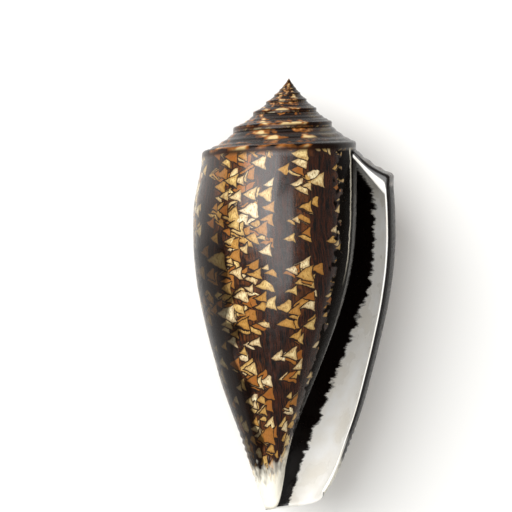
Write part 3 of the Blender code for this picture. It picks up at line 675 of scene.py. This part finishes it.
def glaze_material():
    """Gold and cream tents with brown outlines over chestnut clouds, under a hard clear gloss."""
    material = bpy.data.materials.new("tent_marked_glaze")
    material.use_nodes = True
    tree = material.node_tree
    tree.nodes.clear()
    coil = add(tree, "ShaderNodeAttribute", attribute_name="coil")
    chart_node = add(tree, "ShaderNodeGroup", coil.outputs["Vector"], node_tree=chart_group())
    row = chart_node.outputs["Row"]
    wobble = add(tree, "ShaderNodeTexNoise", chart_node.outputs["Chart"], 0.30, 2.0, 0.55)
    centred = add(tree, "ShaderNodeVectorMath", wobble.outputs["Color"], (0.5, 0.5, 0.5),
                  operation="SUBTRACT")
    bent = add(tree, "ShaderNodeVectorMath", centred, 1.5, operation="SCALE")
    chart = add(tree, "ShaderNodeVectorMath", chart_node.outputs["Chart"], bent, operation="ADD")
    cloud_and_shade_bands = cloud_and_shade_group()
    tents = tent_group(cloud_and_shade_bands)

    # ground: amber with fine growth-wise streaks, turning chestnut and near black in the clouds and in the
    # painted shade stripes along the flanks and beside the lip
    streak_place = add(tree, "ShaderNodeVectorMath", chart, (2.6, 0.22, 1.0), operation="MULTIPLY")
    streaks = add(tree, "ShaderNodeTexNoise", streak_place, 1.0, 3.0, 0.6)
    amber = add(tree, "ShaderNodeValToRGB", streaks)
    amber.color_ramp.elements[0].position = 0.36
    amber.color_ramp.elements[0].color = linear("140803")
    amber.color_ramp.elements[1].position = 0.62
    amber.color_ramp.elements[1].color = linear("5E3312")
    chestnut = add(tree, "ShaderNodeValToRGB", streaks)
    chestnut.color_ramp.elements[0].position = 0.40
    chestnut.color_ramp.elements[0].color = linear("080402")
    chestnut.color_ramp.elements[1].position = 0.70
    chestnut.color_ramp.elements[1].color = linear("421D09")
    cloud_and_shade_strength = add(tree, "ShaderNodeGroup", chart, node_tree=cloud_and_shade_bands)
    depth = add(tree, "ShaderNodeMapRange", cloud_and_shade_strength, 0.12, 0.45, 0.0, 1.0)
    colour = add(tree, "ShaderNodeMix", depth, amber, chestnut, data_type="RGBA")

    speckle_place = add(tree, "ShaderNodeVectorMath", chart, (3.6, 1.5, 1.0), operation="MULTIPLY")
    speckles = add(tree, "ShaderNodeTexNoise", speckle_place, 1.0, 3.0, 0.7)
    speckle = add(tree, "ShaderNodeMapRange", speckles, 0.50, 0.60, 0.0, 0.75)
    for length, height, seed, tent_length, half, share, avoid in TENT_LAYERS:
        layer = add(tree, "ShaderNodeGroup", chart, length, height, seed, tent_length, half, TENT_CURVE,
                    share, avoid, node_tree=tents)
        fill = add(tree, "ShaderNodeValToRGB", layer.outputs["Tone"])
        ramp = fill.color_ramp
        ramp.elements[0].position = 0.0
        ramp.elements[0].color = linear("EBDDB4")
        ramp.elements[1].position = 1.0
        ramp.elements[1].color = linear("8E4A18")
        for stop, code in ((0.40, "D9BC78"), (0.72, "BE9048"), (0.88, "9A5C26")):
            ramp.elements.new(stop).color = linear(code)
        speckled = add(tree, "ShaderNodeMix", speckle, fill, linear("7A5218"), data_type="RGBA")
        rim = add(tree, "ShaderNodeMapRange", layer.outputs["Edge"], 0.35, 1.00, 0.55, 0.0)
        rimmed = add(tree, "ShaderNodeMix", rim, speckled, linear("8A5A20"), data_type="RGBA")
        lined = add(tree, "ShaderNodeMapRange", layer.outputs["Edge"], 0.18, 0.36, 0.0, 1.0)
        tent = add(tree, "ShaderNodeMix", lined, linear("1E0D05"), rimmed, data_type="RGBA")
        colour = add(tree, "ShaderNodeMix", layer.outputs["Inside"], colour, tent, data_type="RGBA")

    # the ramps of the spire carry radial chestnut flames instead, with fine spiral lines of painted shade in
    # the grooves between the threads, a dark band along the step below each shoulder, and painted shade,
    # near black, over the right side of every turn
    parts = add(tree, "ShaderNodeSeparateXYZ", coil.outputs["Vector"])
    flame_turn = add(tree, "ShaderNodeMath", parts.outputs["X"], 13.0, operation="MULTIPLY")
    flame_row = add(tree, "ShaderNodeMath", parts.outputs["Y"], 1.7, operation="MULTIPLY")
    flame_place = add(tree, "ShaderNodeCombineXYZ", flame_turn, flame_row, 4.0)
    flames = add(tree, "ShaderNodeTexNoise", flame_place, 1.0, 2.5, 0.7)
    flame = add(tree, "ShaderNodeValToRGB", flames)
    flame.color_ramp.elements[0].position = 0.48
    flame.color_ramp.elements[0].color = linear("120703")
    flame.color_ramp.elements[1].position = 0.62
    flame.color_ramp.elements[1].color = linear("DCC088")
    flame_middle = flame.color_ramp.elements.new(0.55)
    flame_middle.color = linear("9A5C22")
    # painted shade: dark lines in the grooves between the spiral threads
    rings = add(tree, "ShaderNodeMath", parts.outputs["Y"], math.tau * RAMP_THREADS, operation="MULTIPLY")
    thread = add(tree, "ShaderNodeMath", rings, operation="SINE")
    furrow = add(tree, "ShaderNodeMapRange", thread, -0.3, -0.9, 0.0, 0.85)
    furrowed = add(tree, "ShaderNodeMix", furrow, flame, linear("2A1408"), data_type="RGBA")
    ledge = add(tree, "ShaderNodeMapRange", parts.outputs["Y"], 0.84, 0.92, 0.0, 0.8)
    ledged = add(tree, "ShaderNodeMix", ledge, furrowed, linear("2A1408"), data_type="RGBA")
    # painted shade: the right side of every turn of the spire painted near black, broken by the flames
    from_right = add(tree, "ShaderNodeMath", parts.outputs["X"], 0.48, operation="ADD")
    each_turn = add(tree, "ShaderNodeMath", from_right, operation="FRACT")
    from_dark = add(tree, "ShaderNodeMath", each_turn, 0.5, operation="SUBTRACT")
    away_from_dark = add(tree, "ShaderNodeMath", from_dark, operation="ABSOLUTE")
    broken_flank = add(tree, "ShaderNodeMath", flames, 0.12, away_from_dark, operation="MULTIPLY_ADD")
    spire_painted_shade = add(tree, "ShaderNodeMapRange", broken_flank, 0.15, 0.18, 0.9, 0.0)
    spire = add(tree, "ShaderNodeMix", spire_painted_shade, ledged, linear("120703"), data_type="RGBA")
    on_side = add(tree, "ShaderNodeMapRange", parts.outputs["Y"], 0.93, 0.99, 0.0, 1.0)
    colour = add(tree, "ShaderNodeMix", on_side, spire, colour, data_type="RGBA")

    # the base fades to white, while strips along the seam, along the lip and down the left flank are painted
    # near black as shade, and a thin painted highlight runs along the edge where the glaze stops beside the
    # aperture
    tip_noise = add(tree, "ShaderNodeTexNoise", chart, 0.5, 1.0)
    ragged = add(tree, "ShaderNodeMath", tip_noise, 0.08, row, operation="MULTIPLY_ADD")
    bare = add(tree, "ShaderNodeMapRange", ragged, 0.91, 0.97, 0.0, 1.0)
    uneven_turn = add(tree, "ShaderNodeMath", tip_noise, 0.09, parts.outputs["X"], operation="MULTIPLY_ADD")
    # painted shade: past this turn, beside the aperture, the flank is painted near black
    glazed = add(tree, "ShaderNodeMapRange", uneven_turn, -0.883, -0.893, 0.0, 1.0)
    # painted shade: a strip just behind the lip is painted near black
    near_lip_painted_shade = add(tree, "ShaderNodeMapRange", uneven_turn, -0.035, -0.025, 0.0, 1.0)
    either = add(tree, "ShaderNodeMath", glazed, near_lip_painted_shade, operation="MAXIMUM")
    only_side = add(tree, "ShaderNodeMath", either, on_side, operation="MULTIPLY")
    # painted shade: a broad ragged strip down the left edge is painted near black
    broad_noise = add(tree, "ShaderNodeTexNoise", chart, 0.13, 1.5, 0.6)
    broad_turn = add(tree, "ShaderNodeMath", broad_noise, 0.16, parts.outputs["X"], operation="MULTIPLY_ADD")
    from_flank = add(tree, "ShaderNodeMath", broad_turn, -0.545, operation="SUBTRACT")
    beside = add(tree, "ShaderNodeMath", from_flank, operation="ABSOLUTE")
    in_flank = add(tree, "ShaderNodeMapRange", beside, 0.078, 0.060, 0.0, 0.88)
    flank_rows = add(tree, "ShaderNodeMapRange", row, 0.10, 0.26, 0.25, 1.0)
    left_edge_painted_shade = add(tree, "ShaderNodeMath", in_flank, flank_rows, operation="MULTIPLY")
    left_side = add(tree, "ShaderNodeMath", left_edge_painted_shade, on_side, operation="MULTIPLY")
    all_painted_shade = add(tree, "ShaderNodeMath", left_side, only_side, operation="MAXIMUM")
    dark = add(tree, "ShaderNodeMix", all_painted_shade, colour, linear(NEAR_BLACK), data_type="RGBA")
    # painted highlight: a thin pale line along the edge where the glaze stops, on the upper part of the side
    seam_wobble = add(tree, "ShaderNodeMath", tip_noise, 0.010, parts.outputs["X"], operation="MULTIPLY_ADD")
    seam_line = add(tree, "ShaderNodeMath", seam_wobble, -0.978, 0.0034, operation="COMPARE")
    seam_rows = add(tree, "ShaderNodeMapRange", row, 0.42, 0.30, 0.0, 0.85)
    seam_part = add(tree, "ShaderNodeMath", seam_line, seam_rows, operation="MULTIPLY")
    painted_highlight_line = add(tree, "ShaderNodeMath", seam_part, only_side, operation="MULTIPLY")
    dark = add(tree, "ShaderNodeMix", painted_highlight_line, dark, linear("E9E0CC"), data_type="RGBA")
    colour = add(tree, "ShaderNodeMix", bare, dark, linear("F4EEDD"), data_type="RGBA")

    # polished aragonite has a tight highlight, duller where shade is painted near black and on the worn
    # spire;
    # its growth grain is drawn with lines 0.2 mm wide, coarser than real ones, so that it shows
    rough_noise = add(tree, "ShaderNodeTexNoise", chart_node.outputs["Chart"], 0.8, 3.0)
    roughness = add(tree, "ShaderNodeMapRange", rough_noise, 0.3, 0.7, 0.20, 0.34)
    grain_place = add(tree, "ShaderNodeVectorMath", chart_node.outputs["Chart"], (5.0, 0.4, 1.0),
                      operation="MULTIPLY")
    grain = add(tree, "ShaderNodeTexNoise", grain_place, 1.0, 3.0)
    bump = add(tree, "ShaderNodeBump", 0.25, 0.00006, None, grain)
    surface = add(tree, "ShaderNodeBsdfPrincipled")
    tree.links.new(next(s for s in colour.outputs if s.enabled), surface.inputs["Base Color"])
    tree.links.new(roughness.outputs[0], surface.inputs["Roughness"])
    tree.links.new(bump.outputs[0], surface.inputs["Normal"])
    surface.inputs["IOR"].default_value = 1.55
    on_spire = add(tree, "ShaderNodeMapRange", on_side, 0.0, 1.0, 0.75, 0.0)
    duller = add(tree, "ShaderNodeMath", all_painted_shade, on_spire, operation="MAXIMUM")
    coat = add(tree, "ShaderNodeMapRange", duller, 0.0, 1.0, 0.22, 0.0)
    shine = add(tree, "ShaderNodeMapRange", duller, 0.0, 1.0, 0.38, 0.03)
    tree.links.new(coat.outputs[0], surface.inputs["Coat Weight"])
    tree.links.new(shine.outputs[0], surface.inputs["Specular IOR Level"])
    surface.inputs["Coat Roughness"].default_value = 0.10
    add(tree, "ShaderNodeOutputMaterial", surface)
    return material


def lining_material():
    """White porcelain near the lip, giving way with a ragged edge to painted shade, near black, deep inside.
    """
    # unglazed inner aragonite: milky, a little softer in its highlight than the outside
    material = bpy.data.materials.new("porcelain_lining")
    material.use_nodes = True
    tree = material.node_tree
    tree.nodes.clear()
    coil = add(tree, "ShaderNodeAttribute", attribute_name="coil")
    parts = add(tree, "ShaderNodeSeparateXYZ", coil.outputs["Vector"])
    place = add(tree, "ShaderNodeTexCoord")
    clouds = add(tree, "ShaderNodeTexNoise", place.outputs["Object"], 160.0, 3.0)
    tone = add(tree, "ShaderNodeMapRange", clouds, 0.35, 0.65, 0.0, 1.0)
    white = add(tree, "ShaderNodeMix", tone, linear("F2ECE0"), linear("FDFBF6"), data_type="RGBA")
    # painted shade: past a ragged edge, deeper inside the aperture the lining is painted near black; the
    # white reaches further in towards the base
    jag_turn = add(tree, "ShaderNodeMath", parts.outputs["X"], 22.0, operation="MULTIPLY")
    jag_row = add(tree, "ShaderNodeMath", parts.outputs["Y"], 48.0, operation="MULTIPLY")
    jag_place = add(tree, "ShaderNodeCombineXYZ", jag_turn, jag_row, 0.0)
    jags = add(tree, "ShaderNodeTexNoise", jag_place, 1.0, 4.0, 0.65)
    ragged = add(tree, "ShaderNodeMath", jags, 0.06, parts.outputs["X"], operation="MULTIPLY_ADD")
    wider = add(tree, "ShaderNodeMapRange", parts.outputs["Y"], 1.30, 1.95, 0.0, 0.115)
    shifted = add(tree, "ShaderNodeMath", ragged, wider, operation="ADD")
    deep = add(tree, "ShaderNodeMapRange", shifted, -0.100, -0.108, 0.0, 1.0)
    inside = add(tree, "ShaderNodeMath", parts.outputs["Z"], INNER_LAYER + 0.5, operation="LESS_THAN")
    deep_painted_shade = add(tree, "ShaderNodeMath", deep, inside, operation="MULTIPLY")
    # painted shade: the outer half of the lip's rounding, down to near the base, and a ragged outer strip of
    # the base rim are painted near black
    at_lip = add(tree, "ShaderNodeMath", parts.outputs["Z"], LIP_LAYER, 0.2, operation="COMPARE")
    outer_half = add(tree, "ShaderNodeMapRange", parts.outputs["X"], 0.52, 0.40, 0.0, 1.0)
    edged = add(tree, "ShaderNodeMath", at_lip, outer_half, operation="MULTIPLY")
    above_base = add(tree, "ShaderNodeMapRange", parts.outputs["Y"], 1.9, 1.8, 0.0, 1.0)
    edging = add(tree, "ShaderNodeMath", edged, above_base, operation="MULTIPLY")
    at_rim = add(tree, "ShaderNodeMath", parts.outputs["Z"], RIM_LAYER, 0.2, operation="COMPARE")
    rim_place = add(tree, "ShaderNodeMath", jags, 1.2, parts.outputs["Y"], operation="MULTIPLY_ADD")
    rim_outer = add(tree, "ShaderNodeMapRange", rim_place, 2.98, 2.90, 0.0, 1.0)
    rim_dark = add(tree, "ShaderNodeMath", at_rim, rim_outer, operation="MULTIPLY")
    edges = add(tree, "ShaderNodeMath", edging, rim_dark, operation="MAXIMUM")
    painted_shade = add(tree, "ShaderNodeMath", deep_painted_shade, edges, operation="MAXIMUM")
    colour = add(tree, "ShaderNodeMix", painted_shade, white, linear("0C0604"), data_type="RGBA")
    roughness = add(tree, "ShaderNodeMapRange", clouds, 0.3, 0.7, 0.22, 0.36)
    surface = add(tree, "ShaderNodeBsdfPrincipled")
    tree.links.new(next(s for s in colour.outputs if s.enabled), surface.inputs["Base Color"])
    tree.links.new(roughness.outputs[0], surface.inputs["Roughness"])
    surface.inputs["Coat Weight"].default_value = 0.25
    surface.inputs["Coat Roughness"].default_value = 0.15
    add(tree, "ShaderNodeOutputMaterial", surface)
    return material


form = shell_tree(glaze_material(), lining_material())
blank = bpy.data.objects.new("growth_source", bpy.data.meshes.new("growth_source"))
bpy.context.scene.collection.objects.link(blank)
grown = blank.modifiers.new("Growth", "NODES")
grown.node_group = form
for item in form.interface.items_tree:
    if item.in_out == "INPUT":
        grown[item.identifier] = SHELL_SIZES[item.name]
bpy.context.view_layer.update()
evaluated = blank.evaluated_get(bpy.context.evaluated_depsgraph_get())
mesh = bpy.data.meshes.new_from_object(evaluated)
mesh.name = "whole_shell"
bpy.data.objects.remove(blank)
shell = bpy.data.objects.new("whole_shell", mesh)
bpy.context.scene.collection.objects.link(shell)
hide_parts("cone_shell")
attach(shell, "root")
apex = max(mesh.vertices, key=lambda v: v.co.y).co.copy()

# --- The floor ------------------------------------------------------------------------------------
# A plain pale matt card under the shell, wide enough to fill the whole view.  It scatters light
# evenly, so it shows the shadow and no reflection.

floor_mesh = bpy.data.meshes.new("floor")
FLOOR_REACH = 1.5
FLOOR_DROP = 0.0004            # keeps the floor clear of the faces that rest on it
corners = [(FLOOR_REACH * x, FLOOR_REACH * y, 0.0) for x, y in ((-1, -1), (1, -1), (1, 1), (-1, 1))]
floor_mesh.from_pydata(corners, [], [(0, 1, 2, 3)])
floor = bpy.data.objects.new("floor", floor_mesh)
floor.location.z = -FLOOR_DROP
bpy.context.scene.collection.objects.link(floor)
paper = bpy.data.materials.new("pale_floor")
paper.use_nodes = True
paper_shader = paper.node_tree.nodes["Principled BSDF"]
paper_shader.inputs["Base Color"].default_value = linear("F4F3F0")
paper_shader.inputs["Roughness"].default_value = 0.9
floor_mesh.materials.append(paper)

# --- The camera and the light ---------------------------------------------------------------------
# The camera looks straight down on the lying shell, square to its axis, with the lip turned 67
# degrees to the right.  A large soft key hangs up and to the left, and a weak fill beside the camera.

CAMERA_AZIMUTH = math.radians(92.2)      # about the shell axis, from the shell's own right
CAMERA_ROLL = math.radians(1.26)
CAMERA_DISTANCE = 0.9
VIEW_WIDTH = 0.1126
APEX_RIGHT = 0.00725                     # from the view's centre to the apex, in metres
APEX_UP = 0.03914
axis = Matrix.Rotation(PITCH, 4, "X") @ Vector((0.0, 1.0, 0.0))
outward = Matrix.Rotation(PITCH, 4, "X") @ Vector((math.cos(CAMERA_AZIMUTH), 0.0, math.sin(CAMERA_AZIMUTH)))
side_on = axis.cross(outward)
up = axis * math.cos(CAMERA_ROLL) - side_on * math.sin(CAMERA_ROLL)
right = up.cross(outward)
centre = apex - right * APEX_RIGHT - up * APEX_UP
camera_data = bpy.data.cameras.new("camera")
camera_data.lens = camera_data.sensor_width * CAMERA_DISTANCE / VIEW_WIDTH
camera = bpy.data.objects.new("camera", camera_data)
turned = Matrix((right, up, outward)).transposed().to_4x4()
camera.matrix_world = Matrix.Translation(centre + outward * CAMERA_DISTANCE) @ turned
bpy.context.scene.collection.objects.link(camera)
bpy.context.scene.camera = camera
bpy.context.scene.view_settings.view_transform = "Standard"


def soft_light(name, place, size, power):
    """A square area light at a place in the view's own right, up and outward directions."""
    data = bpy.data.lights.new(name, "AREA")
    data.size = size
    data.energy = power
    lamp = bpy.data.objects.new(name, data)
    lamp.location = centre + right * place[0] + up * place[1] + outward * place[2]
    aim = centre - lamp.location
    lamp.rotation_euler = aim.to_track_quat("-Z", "Y").to_euler()
    bpy.context.scene.collection.objects.link(lamp)


soft_light("key", (-0.30, 0.22, 0.58), 0.62, 6.3)
soft_light("fill", (0.05, -0.12, 0.75), 0.5, 2.6)
world = bpy.data.worlds.new("plain_sky")
world.use_nodes = True
world.node_tree.nodes["Background"].inputs["Color"].default_value = linear("F4F6F8")
world.node_tree.nodes["Background"].inputs["Strength"].default_value = 0.22
bpy.context.scene.world = world
